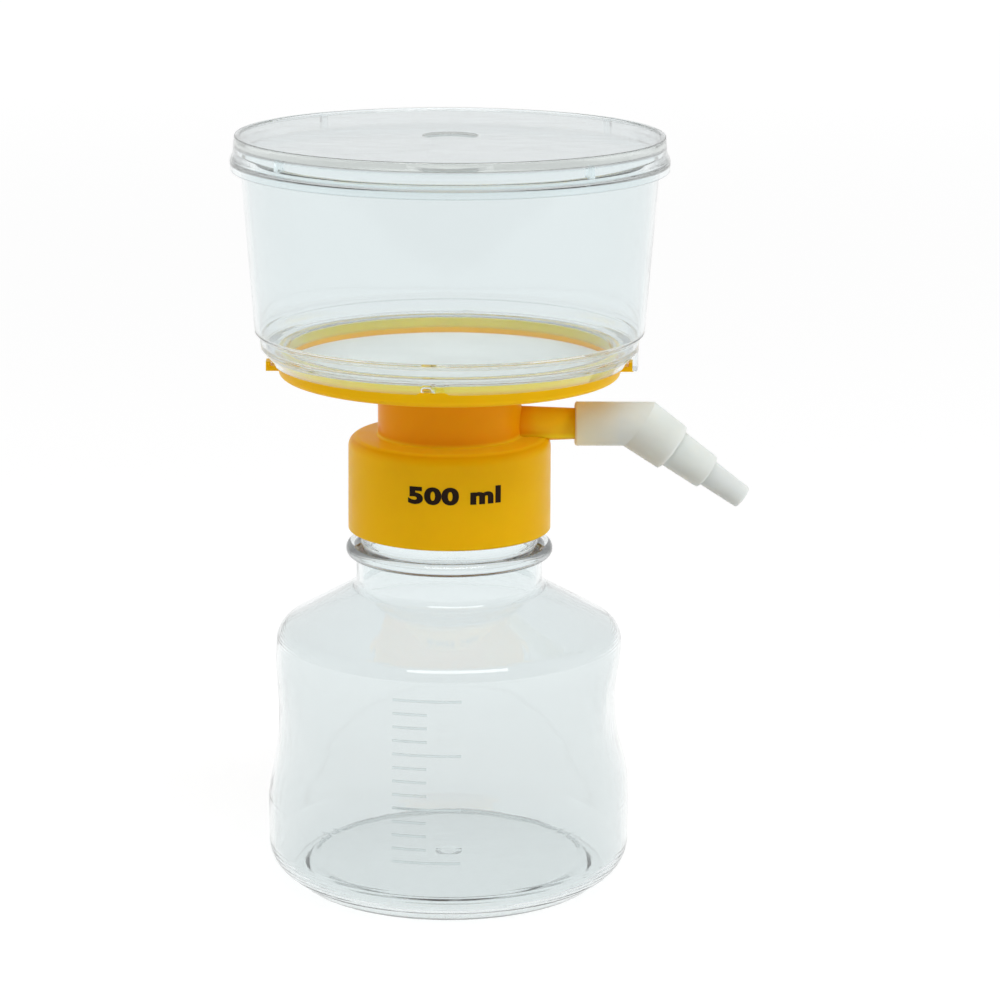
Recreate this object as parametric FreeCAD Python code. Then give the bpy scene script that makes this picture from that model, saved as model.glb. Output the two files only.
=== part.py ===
import FreeCAD, Part
import math
import os

# Vacuum filtration unit, 500 ml class, in millimetres.
# +Z is up along the common axis, +X points along the side vacuum port.
# The origin is the centre of the bottle's foot, on the surface it stands on.

V = FreeCAD.Vector
Z_AXIS = V(0, 0, 1)
X_AXIS = V(1, 0, 0)
ORIGIN = V(0, 0, 0)

# ---- roundings of small moulded edges and corners
fine_rounding = 0.2
edge_rounding = 0.3
corner_rounding = 0.6
soft_rounding = 1.5

# ---- receiver bottle
body_radius = 48.9            # lower body, outside
body_wall = 1.4
heel_width = 6.7              # from the foot out to the side
heel_height = 5.4             # where the heel's slope would meet the side
heel_rounding = 8.8
foot_width = 3.3              # ring that the bottle stands on
base_step_width = 2.2         # sloped ring between the foot and the raised base panel
base_recess = 2.6             # height of the raised base panel
base_dome = 0.9               # rise of the panel towards its centre
taper_start = 22.0            # height where the body starts to narrow
taper_rounding = 60.0         # of the bend there
upper_body_radius = 46.2
shoulder_height = 68.3        # where the side line would meet the shoulder's slope
shoulder_rounding = 5.5
neck_foot = 80.4              # where the shoulder meets the neck
neck_foot_rounding = 2.5
neck_radius = 24.9
neck_wall = 1.5
neck_length = 8.3             # plain neck between the shoulder and the bead
bead_projection = 2.7
bead_height = 3.3
bead_rounding = 1.6
finish_radius = 23.1          # threaded mouth, at the thread's root
finish_height = 24.4          # from the bead to the rim of the mouth
mouth_bore_radius = 21.3
mouth_bore_start = 1.0        # above the bead's lower side, where the bore starts to narrow
rim_rounding = 0.5

# ---- finger grips: shallow oval hollows in the bottle's sides
grip_depths = (2.4, 1.6)      # the two sides differ, as blown bottles do
grip_centres = (49.0, 45.0)   # heights of their middles
grip_angles = (0.0, 184.0)
grip_height = 31.0
grip_width = 50.0

# ---- screw thread between the bottle and the collar
thread_pitch = 4.0
thread_turns = 1.4
thread_depth = 1.3
thread_root_width = 2.0
thread_crest_width = 1.0
thread_radial_gap = 0.5       # from each crest to the other piece's root
thread_flank_gap = 0.3
thread_start = 6.5            # above the bead
collar_thread_lead = 90.0     # degrees along the helix before the collar's ridge starts
thread_sink = 0.3             # how far a ridge reaches into its wall

# ---- seal ring in the collar
seal_thickness = 1.8
seal_face_gap = 0.05
seal_side_gap = 0.3
seal_overhang = 1.5           # inside the mouth's bore

# ---- filter base: collar, drum, dish and port in one moulding
collar_wall = 2.1
collar_draft = 0.1            # the collar is this much slimmer at its top
collar_roof = 2.5
collar_roof_rise = 0.5        # of the roof's upper side towards the drum
collar_rounding = 2.8
collar_bead_gap = 3.8         # between the bead and the collar's lower edge
drum_radius = 19.05
drum_wall = 1.8
drum_height = 16.9            # from the collar's roof to the dish
dish_radius = 45.2
dish_floor = 1.5
dish_rounding = 1.2
flange_wall = 1.2
flange_height = 4.4           # above the membrane's seat
grid_height = 0.9
grid_sink = 0.4               # how far the rings reach into the floor
grid_ring_width = 1.6
grid_ring_pitch = 5.6
drain_width = 2.4
drain_count = 6               # slots across the whole grid
seat_width = 3.4              # plain ring that the membrane's edge is sealed to
spout_bore = 4.0
spout_wall = 1.5
spout_length = 28.0           # below the dish
port_height = 3.2             # port axis above the collar's roof
port_root_radius = 4.75
port_tip_radius = 3.85
port_bore = 2.2
port_reach = 41.5             # distance of the port's tip from the main axis
lug_width = 4.0
lug_reach = 3.3               # out from the dish
lug_rise = 0.7                # of the lugs' lower side above the dish's
lug_thickness = 1.35
lug_tip_width = 1.2
lug_tip_height = 1.2

# ---- membrane
membrane_thickness = 0.2
membrane_edge_gap = 0.4

# ---- funnel
funnel_wall = 1.2
funnel_rim_radius = 54.8
funnel_foot_radius = 51.4     # outside, just above the step
funnel_height = 45.6          # from the step to the rim
step_height = 1.1
step_inset = 1.25
step_inner_rise = 0.5         # the step is this much higher inside
waist_height = 3.1            # band below the step
waist_draft = 0.3
skirt_height = 4.1            # tapered skirt below the band
skirt_rise = 0.8              # from the flange's top to the skirt's upper edge
skirt_gap = 0.25              # from the dish's flange to the skirt
skirt_wall = 1.25
ledge_thickness = 1.2
ledge_slope = 0.5             # the ledge falls this much towards the membrane
lip_wall = 0.9
lip_depth = 2.7               # how far the lip reaches down inside the flange
lip_gap = 0.1
notch_width = 7.2
notch_height = 0.8
notch_angle = -95.0
weld_rib_width = 1.2
weld_rib_height = 2.2
weld_rib_projection = 0.45
tab_angle = -4.0
tab_span = 13.0               # degrees around the axis
tab_drop = 1.2                # below the skirt's edge
tab_wall = 1.2

# ---- lid
lid_wall = 0.9
lid_side_gap = 0.6            # around the funnel's rim
lid_rest_gap = 0.1
lid_plate = 1.9
lid_rim_height = 0.5
lid_rim_width = 1.3
lid_rim_slope = 0.2           # the rim's inner side leans by this much
lid_upper_height = 6.4
lid_shelf_slope = 2.3
lid_band_height = 2.6
lid_band_step = 0.85
lid_draft = 0.4
lid_recess_radius = 7.2
lid_recess_depth = 0.6
lid_spacer_count = 4          # ribs that keep the plate above the funnel's rim
lid_spacer_angle = -51.0
lid_spacer_width = 1.6
lid_spacer_height = 3.5
lid_spacer_reach = 1.6        # inwards from the lid's wall

# ---- hose adapter
adapter_radius = 5.88
adapter_mouth = 33.2          # distance of its open end from the main axis
adapter_bend = 50.25          # distance of the bend from the main axis
adapter_angle = 35.6          # how far the stepped end points below level
adapter_fit_gap = 0.05
adapter_bore = 1.9
adapter_mouth_chamfer = 0.4
adapter_stop = 0.5            # between the port's tip and the end of the socket
barb_lengths = (10.9, 11.7, 11.85)
barb_big_radii = (7.15, 5.45, 3.70)
barb_small_radii = (6.70, 4.85, 3.16)
barb_rounding = 0.5

# ---- heights that follow
bead_bottom = neck_foot + neck_length
bead_top = bead_bottom + bead_height
mouth_top = bead_top + finish_height
collar_bottom = bead_top + collar_bead_gap
collar_ceiling = mouth_top + seal_thickness + 2 * seal_face_gap
collar_top = collar_ceiling + collar_roof
dish_bottom = collar_top + drum_height
grid_floor = dish_bottom + dish_floor
membrane_seat = grid_floor + grid_height
flange_top = membrane_seat + flange_height
port_axis = collar_top + port_height

# ---- radii that follow
collar_bore = finish_radius + thread_depth + thread_radial_gap
collar_radius = collar_bore + collar_wall
dish_inner_radius = dish_radius - flange_wall
skirt_foot_radius = dish_radius + skirt_gap + skirt_wall
waist_radius = funnel_foot_radius - step_inset
overlap = 1.0                 # how far joined shapes reach into each other


def rounded_wire(corners, closed=True):
    """A wire in the XZ plane through (radius, height, rounding) corners, with tangent arcs."""
    points = [V(r, 0, z) for r, z, _ in corners]
    count = len(points)
    starts, ends, arcs = [], [], []
    for i, (_, _, rounding) in enumerate(corners):
        at_end = not closed and i in (0, count - 1)
        here = points[i]
        back = points[i - 1] - here
        ahead = points[(i + 1) % count] - here
        if rounding <= 0 or at_end:
            starts.append(here)
            ends.append(here)
            arcs.append(None)
            continue
        half = back.getAngle(ahead) / 2
        room = 0.49 * min(back.Length, ahead.Length)
        reach = min(rounding / math.tan(half), room)
        radius = reach * math.tan(half)
        back.normalize()
        ahead.normalize()
        middle = back + ahead
        middle.normalize()
        centre = here + middle * (radius / math.sin(half))
        starts.append(here + back * reach)
        ends.append(here + ahead * reach)
        arcs.append(centre - middle * radius)
    edges = []
    for i in range(count):
        if arcs[i] is not None:
            edges.append(Part.Arc(starts[i], arcs[i], ends[i]).toShape())
        if i + 1 < count or closed:
            after = starts[(i + 1) % count]
            if ends[i].distanceToPoint(after) > 1e-6:
                edges.append(Part.LineSegment(ends[i], after).toShape())
    return Part.Wire(edges)


def turned(corners):
    """A solid turned about the main axis from a closed outline of (radius, height, rounding)."""
    return Part.Face(rounded_wire(corners)).revolve(ORIGIN, Z_AXIS, 360)


def ring(inner, outer, bottom, top):
    """A plain ring or, with no inner radius, a disc."""
    body = Part.makeCylinder(outer, top - bottom, V(0, 0, bottom))
    if inner > 0:
        body = body.cut(Part.makeCylinder(inner, top - bottom, V(0, 0, bottom)))
    return body


def block(inner, outer, width, bottom, top, angle=0.0):
    """A block that points away from the main axis at an angle."""
    body = Part.makeBox(outer - inner, width, top - bottom, V(inner, -width / 2, bottom))
    body.rotate(ORIGIN, Z_AXIS, angle)
    return body


def sector(inner, outer, bottom, top, span, angle):
    """Part of a ring that spans some degrees either side of an angle."""
    outline = rounded_wire([(inner, bottom, 0), (outer, bottom, 0), (outer, top, 0), (inner, top, 0)])
    body = Part.Face(outline).revolve(ORIGIN, Z_AXIS, span)
    body.rotate(ORIGIN, Z_AXIS, angle - span / 2)
    return body


def thread_ridge(root, outward, start, lead=0.0):
    """A helical ridge on a round wall; outward is +1 on a neck and -1 inside a collar.

    It starts some degrees along the helix that begins at the start height.
    """
    height = thread_pitch * thread_turns
    helix = Part.makeHelix(thread_pitch, height, root)
    foot = root - outward * thread_sink
    crest = root + outward * thread_depth
    root_half = thread_root_width / 2
    crest_half = thread_crest_width / 2
    slope = (root_half - crest_half) / thread_depth
    foot_half = root_half + slope * thread_sink
    section = Part.makePolygon([
        V(foot, 0, -foot_half),
        V(crest, 0, -crest_half),
        V(crest, 0, crest_half),
        V(foot, 0, foot_half),
        V(foot, 0, -foot_half),
    ])
    ridge = Part.Wire(helix).makePipeShell([section], True, True)
    ridge.rotate(ORIGIN, Z_AXIS, lead)
    ridge.translate(V(0, 0, start + thread_pitch * lead / 360))
    return ridge


# ---------------------------------------------------------------- bottle

def bottle_outside():
    """Corners of the outer outline, from the axis at the base up to the rim of the mouth."""
    foot_outer = body_radius - heel_width
    foot_inner = foot_outer - foot_width
    panel = foot_inner - base_step_width
    bead_radius = neck_radius + bead_projection
    return [
        (0, base_recess + base_dome, 0),
        (panel, base_recess, soft_rounding),
        (foot_inner, 0, corner_rounding),
        (foot_outer, 0, corner_rounding),
        (body_radius, heel_height, heel_rounding),
        (body_radius, taper_start, taper_rounding),
        (upper_body_radius, shoulder_height, shoulder_rounding),
        (neck_radius, neck_foot, neck_foot_rounding),
        (neck_radius, bead_bottom, corner_rounding),
        (bead_radius, bead_bottom, bead_rounding),
        (bead_radius, bead_top, bead_rounding),
        (finish_radius, bead_top, corner_rounding),
        (finish_radius, mouth_top, rim_rounding),
    ]


def bottle_inside():
    """Corners of the inner outline, one wall inside the outer one."""
    foot_outer = body_radius - heel_width
    foot_inner = foot_outer - foot_width
    panel = foot_inner - base_step_width
    heel_slope = math.atan2(heel_height, heel_width)
    heel_start = foot_outer - body_wall * math.tan(heel_slope / 2)
    heel_end = heel_height + body_wall * math.tan((math.pi / 2 - heel_slope) / 2)
    slope = math.atan2(neck_foot - shoulder_height, upper_body_radius - neck_radius)
    drop = body_wall / math.cos(slope)
    neck_inside = neck_radius - neck_wall
    inner_foot = neck_foot - drop + (neck_radius - neck_inside) * math.tan(slope)
    inner_shoulder = shoulder_height - drop + body_wall * math.tan(slope)
    narrowing = neck_inside - mouth_bore_radius
    bore_start = bead_bottom + mouth_bore_start
    return [
        (0, base_recess + base_dome + body_wall, 0),
        (panel, base_recess + body_wall, soft_rounding),
        (foot_inner + body_wall / 2, body_wall, soft_rounding),
        (heel_start, body_wall, edge_rounding),
        (body_radius - body_wall, heel_end, heel_rounding - body_wall),
        (body_radius - body_wall, taper_start, taper_rounding - body_wall),
        (upper_body_radius - body_wall, inner_shoulder, shoulder_rounding - body_wall),
        (neck_inside, inner_foot, neck_foot_rounding),
        (neck_inside, bore_start, soft_rounding),
        (mouth_bore_radius, bore_start + narrowing, soft_rounding),
        (mouth_bore_radius, mouth_top + overlap, 0),
        (0, mouth_top + overlap, 0),
    ]


def grip_tool(inset, depth, centre, angle):
    """The torus whose inner side presses a grip into the body; inset moves it inwards."""
    share = (centre - taper_start) / (shoulder_height - taper_start)
    side = body_radius + share * (upper_body_radius - body_radius)
    floor = side - depth
    half_width = grip_width / 2
    edge = math.sqrt(side ** 2 - half_width ** 2)
    fall = floor - edge
    across = (half_width ** 2 + fall ** 2) / (2 * fall)
    upright = ((grip_height / 2) ** 2 + depth ** 2) / (2 * depth)
    tool = Part.makeTorus(across + upright, upright + inset, V(floor - across, 0, centre), Z_AXIS)
    tool.rotate(ORIGIN, Z_AXIS, angle)
    return tool


def make_bottle():
    outline = bottle_outside() + [(0, mouth_top, 0)]
    outside = turned(outline)
    inside = turned(bottle_inside())
    for depth, centre, angle in zip(grip_depths, grip_centres, grip_angles):
        outside = outside.cut(grip_tool(0, depth, centre, angle))
        inside = inside.cut(grip_tool(body_wall, depth, centre, angle))
    shell = outside.cut(inside)
    return shell.fuse(thread_ridge(finish_radius, 1, bead_top + thread_start))


# ---------------------------------------------------------------- seal

def make_neck_seal():
    bottom = mouth_top + seal_face_gap
    return turned([
        (mouth_bore_radius - seal_overhang, bottom, edge_rounding),
        (collar_bore - seal_side_gap, bottom, edge_rounding),
        (collar_bore - seal_side_gap, bottom + seal_thickness, edge_rounding),
        (mouth_bore_radius - seal_overhang, bottom + seal_thickness, edge_rounding),
    ])


# ---------------------------------------------------------------- filter base

def base_body():
    """Collar, drum, dish floor and flange as one turned shape."""
    drum_inner = drum_radius - drum_wall
    return turned([
        (collar_bore, collar_bottom, edge_rounding),
        (collar_radius, collar_bottom, edge_rounding),
        (collar_radius - collar_draft, collar_top, collar_rounding),
        (drum_radius, collar_top + collar_roof_rise, corner_rounding),
        (drum_radius, dish_bottom, corner_rounding),
        (dish_radius, dish_bottom, dish_rounding),
        (dish_radius, flange_top, fine_rounding),
        (dish_inner_radius, flange_top, fine_rounding),
        (dish_inner_radius, membrane_seat, 0),
        (dish_inner_radius - seat_width, membrane_seat, 0),
        (dish_inner_radius - seat_width, grid_floor, 0),
        (spout_bore, grid_floor, 0),
        (spout_bore, dish_bottom - overlap, 0),
        (spout_bore + spout_wall, dish_bottom - overlap, 0),
        (spout_bore + spout_wall, dish_bottom, 0),
        (drum_inner, dish_bottom, corner_rounding),
        (drum_inner, collar_ceiling, edge_rounding),
        (collar_bore, collar_ceiling, corner_rounding),
    ])


def support_grid():
    """Concentric rings under the membrane, crossed by drain slots to the centre hole."""
    rings = []
    inner = spout_bore + grid_ring_width
    limit = dish_inner_radius - seat_width - grid_ring_width
    while inner + grid_ring_width < limit:
        rings.append(ring(inner, inner + grid_ring_width, grid_floor - grid_sink, membrane_seat))
        inner += grid_ring_pitch
    grid = rings[0].multiFuse(rings[1:])
    length = 2 * (dish_inner_radius - seat_width)
    for i in range(drain_count):
        slot = Part.makeBox(length, drain_width, grid_height + overlap,
                            V(-length / 2, -drain_width / 2, grid_floor))
        slot.rotate(ORIGIN, Z_AXIS, 180.0 * i / drain_count)
        grid = grid.cut(slot)
    return grid


def side_port():
    """The tapered vacuum port, on the outside of the drum."""
    start = drum_radius - drum_wall / 2
    length = port_reach - start
    return Part.makeCone(port_root_radius, port_tip_radius, length, V(start, 0, port_axis), X_AXIS)


def port_radius(distance):
    """The port's outer radius at a distance from the main axis."""
    start = drum_radius - drum_wall / 2
    share = (distance - start) / (port_reach - start)
    return port_root_radius + share * (port_tip_radius - port_root_radius)


def lug(angle):
    """An L-shaped lug: a bar out from the dish with its end turned up."""
    bottom = dish_bottom + lug_rise
    tip = dish_radius + lug_reach
    bar = block(dish_radius - overlap, tip, lug_width, bottom, bottom + lug_thickness, angle)
    hook = block(tip - lug_tip_width, tip, lug_width, bottom,
                 bottom + lug_thickness + lug_tip_height, angle)
    return bar.fuse(hook)


def make_filter_base():
    body = base_body()
    body = body.fuse(ring(spout_bore, spout_bore + spout_wall, dish_bottom - spout_length, dish_bottom))
    body = body.fuse(support_grid())
    body = body.fuse(side_port())
    body = body.fuse([lug(0), lug(180)])
    bore_start = drum_radius - drum_wall - overlap
    bore = Part.makeCylinder(port_bore, port_reach, V(bore_start, 0, port_axis), X_AXIS)
    body = body.cut(bore)
    loaded_side = (thread_root_width + thread_crest_width) / 2 + thread_flank_gap
    start = bead_top + thread_start - loaded_side
    return body.fuse(thread_ridge(collar_bore, -1, start, collar_thread_lead))


# ---------------------------------------------------------------- membrane

def make_membrane():
    return ring(0, dish_inner_radius - membrane_edge_gap, membrane_seat, membrane_seat + membrane_thickness)


# ---------------------------------------------------------------- funnel

ledge_top = flange_top + ledge_thickness
skirt_top = flange_top + skirt_rise
skirt_bottom = skirt_top - skirt_height
step_bottom = skirt_top + waist_height
step_top = step_bottom + step_height
rim_top = step_top + funnel_height
lip_radius = dish_inner_radius - lip_gap


def funnel_body():
    """The wall, step, waist, tapered skirt, ledge and inner lip as one turned shape."""
    skirt_slope = (waist_radius - waist_draft - skirt_foot_radius) / skirt_height
    skirt_inside = skirt_foot_radius - skirt_wall
    return turned([
        (skirt_foot_radius, skirt_bottom, edge_rounding),
        (waist_radius - waist_draft, skirt_top, corner_rounding),
        (waist_radius, step_bottom, corner_rounding),
        (funnel_foot_radius, step_top, corner_rounding),
        (funnel_rim_radius, rim_top, edge_rounding),
        (funnel_rim_radius - funnel_wall, rim_top, edge_rounding),
        (funnel_foot_radius - funnel_wall, step_top + step_inner_rise, corner_rounding),
        (waist_radius - funnel_wall, step_bottom + step_inner_rise, corner_rounding),
        (waist_radius - waist_draft - funnel_wall, ledge_top + ledge_slope / 2, corner_rounding),
        (lip_radius - lip_wall, ledge_top - ledge_slope / 2, edge_rounding),
        (lip_radius - lip_wall, flange_top - lip_depth, fine_rounding),
        (lip_radius, flange_top - lip_depth, fine_rounding),
        (lip_radius, flange_top, 0),
        (skirt_inside + skirt_slope * (flange_top - skirt_bottom), flange_top, edge_rounding),
        (skirt_inside, skirt_bottom, edge_rounding),
    ])


def weld_rib(angle):
    """A short upright rib on the skirt, over the notch; its foot follows the skirt's slope."""
    bottom = skirt_bottom + notch_height
    slope = (waist_radius - waist_draft - skirt_foot_radius) / skirt_height
    low = skirt_foot_radius + slope * notch_height
    high = low + slope * weld_rib_height
    outline = rounded_wire([
        (low - skirt_wall / 2, bottom, 0),
        (low + weld_rib_projection, bottom, 0),
        (high + weld_rib_projection, bottom + weld_rib_height, 0),
        (high - skirt_wall / 2, bottom + weld_rib_height, 0),
    ])
    rib = Part.Face(outline).extrude(V(0, weld_rib_width, 0))
    rib.translate(V(0, -weld_rib_width / 2, 0))
    rib.rotate(ORIGIN, Z_AXIS, angle)
    return rib


def key_tab():
    """The tab of the skirt that hangs outside one lug."""
    outer = waist_radius - waist_draft
    return sector(outer - tab_wall, outer, skirt_bottom - tab_drop, skirt_top, tab_span, tab_angle)


def make_funnel():
    body = funnel_body()
    for angle in (notch_angle, notch_angle + 180):
        notch = block(lip_radius + flange_wall + lip_gap, waist_radius, notch_width,
                      skirt_bottom - overlap, skirt_bottom + notch_height, angle)
        body = body.cut(notch)
        body = body.fuse(weld_rib(angle))
    return body.fuse(key_tab())


# ---------------------------------------------------------------- lid

def make_lid():
    inner = funnel_rim_radius + lid_side_gap
    upper = inner + lid_wall - lid_draft / 2
    spacer_foot = rim_top + lid_rest_gap
    underside = spacer_foot + lid_spacer_height
    plate_top = underside + lid_plate
    top = plate_top + lid_rim_height
    shelf = top - lid_upper_height
    bottom = shelf - lid_band_height
    band = upper + lid_draft + lid_band_step
    body = turned([
        (0, underside, 0),
        (inner, underside, corner_rounding),
        (inner + lid_draft / 2, shelf, fine_rounding),
        (band - lid_wall, shelf - lid_wall, edge_rounding),
        (band - lid_wall, bottom, fine_rounding),
        (band, bottom, edge_rounding),
        (band, shelf, edge_rounding),
        (upper + lid_draft, shelf + lid_shelf_slope, soft_rounding),
        (upper, top, edge_rounding),
        (upper - lid_rim_width, top, fine_rounding),
        (upper - lid_rim_width - lid_rim_slope, plate_top, fine_rounding),
        (lid_recess_radius, plate_top, fine_rounding),
        (lid_recess_radius, plate_top - lid_recess_depth, fine_rounding),
        (0, plate_top - lid_recess_depth, 0),
    ])
    for i in range(lid_spacer_count):
        angle = lid_spacer_angle + 360.0 * i / lid_spacer_count
        body = body.fuse(block(inner - lid_spacer_reach, inner + lid_wall / 2, lid_spacer_width,
                               spacer_foot, underside + lid_plate / 2, angle))
    return body


# ---------------------------------------------------------------- hose adapter

def along(shape):
    """Turn a shape built along +Z so that it runs from the bend down the stepped end."""
    turn = FreeCAD.Rotation(V(0, 1, 0), 90 + adapter_angle)
    shape.Placement = FreeCAD.Placement(V(adapter_bend, 0, port_axis), turn)
    return shape


def bend_length():
    """Half-length of the slanted section where the barrel meets the stepped end."""
    return adapter_radius / math.cos(math.radians(adapter_angle))


def barrel():
    """The level part, cut off square to the stepped end at the bend."""
    length = adapter_bend - adapter_mouth + 2 * adapter_radius
    body = Part.makeCylinder(adapter_radius, length, V(adapter_mouth, 0, port_axis), X_AXIS)
    mouth = [edge for edge in body.Edges if abs(edge.CenterOfMass.x - adapter_mouth) < 0.01]
    body = body.makeChamfer(adapter_mouth_chamfer, mouth)
    half = 2 * length
    beyond = along(Part.makeBox(2 * half, 2 * half, 2 * half, V(-half, -half, 0)))
    return body.cut(beyond)


def first_step():
    """From the barrel's slanted section to the round end of the first step."""
    slanted = Part.Ellipse(ORIGIN, bend_length(), adapter_radius).toShape()
    end = Part.Circle(V(0, 0, barb_lengths[0]), Z_AXIS, barb_small_radii[0]).toShape()
    body = Part.makeLoft([Part.Wire(slanted), Part.Wire(end)], True, True)
    return along(body)


def later_steps():
    """The two slimmer tapering steps, turned about the stepped end's axis."""
    corners = [(0, barb_lengths[0] - overlap, 0), (barb_big_radii[1], barb_lengths[0] - overlap, 0)]
    height = barb_lengths[0]
    for i in (1, 2):
        if i > 1:
            corners.append((barb_big_radii[i], height, fine_rounding))
        height += barb_lengths[i]
        corners.append((barb_small_radii[i], height, barb_rounding))
    corners.append((0, height, 0))
    return along(turned(corners))


def make_hose_adapter():
    body = barrel().fuse([first_step(), later_steps()])
    depth = port_reach + adapter_stop - adapter_mouth
    socket = Part.makeCone(port_radius(adapter_mouth) + adapter_fit_gap,
                           port_radius(adapter_mouth + depth) + adapter_fit_gap,
                           depth, V(adapter_mouth, 0, port_axis), X_AXIS)
    body = body.cut(socket)
    start = V(adapter_mouth, 0, port_axis)
    level = Part.makeCylinder(adapter_bore, adapter_bend - adapter_mouth, start, X_AXIS)
    slanted = along(Part.makeCylinder(adapter_bore, sum(barb_lengths) + overlap))
    elbow = Part.makeSphere(adapter_bore, V(adapter_bend, 0, port_axis))
    return body.cut(level.fuse([slanted, elbow]))


# ---------------------------------------------------------------- write

NODES = {
    "bottle": make_bottle,
    "neck_seal": make_neck_seal,
    "filter_base": make_filter_base,
    "membrane": make_membrane,
    "funnel": make_funnel,
    "lid": make_lid,
    "hose_adapter": make_hose_adapter,
}

os.makedirs("parts", exist_ok=True)
for node, make in NODES.items():
    shape = make()
    if shape.ShapeType != "Solid" and len(shape.Solids) == 1:
        shape = shape.Solids[0]
    box = shape.BoundBox
    print("%-13s solids %d valid %s volume %.1f  x %.2f..%.2f  y %.2f..%.2f  z %.2f..%.2f" % (
        node, len(shape.Solids), shape.isValid(), shape.Volume,
        box.XMin, box.XMax, box.YMin, box.YMax, box.ZMin, box.ZMax))
    shape.exportStep("parts/%s.step" % node)
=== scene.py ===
import bmesh
import bpy
import math
from mathutils import Matrix, Vector, noise


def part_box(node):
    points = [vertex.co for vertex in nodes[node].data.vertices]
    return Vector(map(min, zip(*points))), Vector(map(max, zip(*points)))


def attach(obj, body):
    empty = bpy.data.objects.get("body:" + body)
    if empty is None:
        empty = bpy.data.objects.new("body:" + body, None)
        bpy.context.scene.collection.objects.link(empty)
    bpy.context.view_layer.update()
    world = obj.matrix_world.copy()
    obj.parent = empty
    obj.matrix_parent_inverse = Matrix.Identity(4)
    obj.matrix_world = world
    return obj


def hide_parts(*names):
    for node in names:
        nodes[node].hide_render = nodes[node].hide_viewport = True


# Looks of the vacuum filtration unit: a clear receiver bottle, a yellow filter base that screws on it,
# a clear funnel with its lid and a stepped hose adapter. Outlines are in millimetres and turned about
# the Z axis: a radius is from that axis and a height from the foot. +X points along the side port,
# and the camera looks along +Y.

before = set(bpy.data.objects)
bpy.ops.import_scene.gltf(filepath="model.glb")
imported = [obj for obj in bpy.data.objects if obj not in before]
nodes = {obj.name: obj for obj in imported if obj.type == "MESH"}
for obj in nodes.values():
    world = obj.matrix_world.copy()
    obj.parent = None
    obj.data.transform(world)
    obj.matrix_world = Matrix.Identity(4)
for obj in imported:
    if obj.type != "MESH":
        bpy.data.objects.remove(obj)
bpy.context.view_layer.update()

MM = 0.001
SEGMENTS = 276                # round the axis of a turned piece
HOLD = 0.12                   # from the end of a straight run to the ring that keeps it straight
ARC_STEP = math.radians(9)    # between the points of a rounding
LONGEST = 1.8                 # edge along a run that is pressed out of round
MOST_OF_RUN = 0.49            # share of a straight run that the rounding at one end can use up
ON_AXIS = 1e-6                # a point that is nearer to the axis than this lies on it

recess_rounding = 0.12        # roundings of small moulded edges and corners
fine_rounding = 0.2
edge_rounding = 0.3
lid_rounding = 0.35
rim_rounding = 0.4
corner_rounding = 0.6
deep_rounding = 0.8
soft_rounding = 1.5
rib_sink = 0.1                # how far a rib reaches into the wall it stands on


# ---------------------------------------------------------------- sizes from the frame

bottle_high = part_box("bottle")[1] / MM
base_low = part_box("filter_base")[0] / MM
funnel_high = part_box("funnel")[1] / MM
lid_low, lid_high = (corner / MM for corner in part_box("lid"))
adapter_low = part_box("hose_adapter")[0] / MM

body_radius = bottle_high.y   # the finger grips are at the X sides
mouth_top = bottle_high.z
collar_bottom = base_low.z


# ---------------------------------------------------------------- outlines and turned meshes

def outline(corners, closed=False):
    """Points along a line through (radius, height, rounding) corners, with round stretches as arcs."""
    places = [Vector((radius, height)) for radius, height, _ in corners]
    count = len(places)
    points = []
    for i, (_, _, rounding) in enumerate(corners):
        here = places[i]
        at_end = not closed and i in (0, count - 1)
        if rounding == 0 or at_end:
            points.append(here)
            continue
        back = places[i - 1] - here
        ahead = places[(i + 1) % count] - here
        half = back.angle(ahead) / 2
        reach = min(rounding / math.tan(half), MOST_OF_RUN * min(back.length, ahead.length))
        radius = reach * math.tan(half)
        middle = (back.normalized() + ahead.normalized()).normalized()
        centre = here + middle * (radius / math.sin(half))
        start = here + back.normalized() * reach - centre
        end = here + ahead.normalized() * reach - centre
        turn = math.pi - 2 * half
        steps = max(2, math.ceil(turn / ARC_STEP))
        for step in range(steps + 1):
            share = step / steps
            part = start * math.sin((1 - share) * turn) + end * math.sin(share * turn)
            points.append(centre + part / math.sin(turn))
    return points


def refined(points, closed=False, divided=(0.0, 0.0)):
    """The same line with its straight runs held near both ends, and divided between two heights."""
    fine = [points[0]]
    ends = points[1:] + points[:1] if closed else points[1:]
    for before, after in zip(points, ends):
        length = (after - before).length
        low, high = sorted((before.y, after.y))
        within = low < divided[1] and high > divided[0]
        steps = math.ceil(length / LONGEST) if within else 1
        shares = [step / steps for step in range(1, steps + 1)]
        if length > 4 * HOLD:
            shares = sorted(shares + [HOLD / length, 1 - HOLD / length])
        fine += [before.lerp(after, share) for share in shares]
    return fine[:-1] if closed else fine


def mesh_object(name, vertices, faces, smooth=True):
    """A new object from vertices in millimetres, with its normals outside."""
    mesh = bpy.data.meshes.new(name)
    mesh.from_pydata([vertex * MM for vertex in vertices], [], faces)
    work = bmesh.new()
    work.from_mesh(mesh)
    bmesh.ops.recalc_face_normals(work, faces=work.faces)
    work.to_mesh(mesh)
    work.free()
    for face in mesh.polygons:
        face.use_smooth = smooth
    made = bpy.data.objects.new(name, mesh)
    bpy.context.scene.collection.objects.link(made)
    return made


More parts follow.
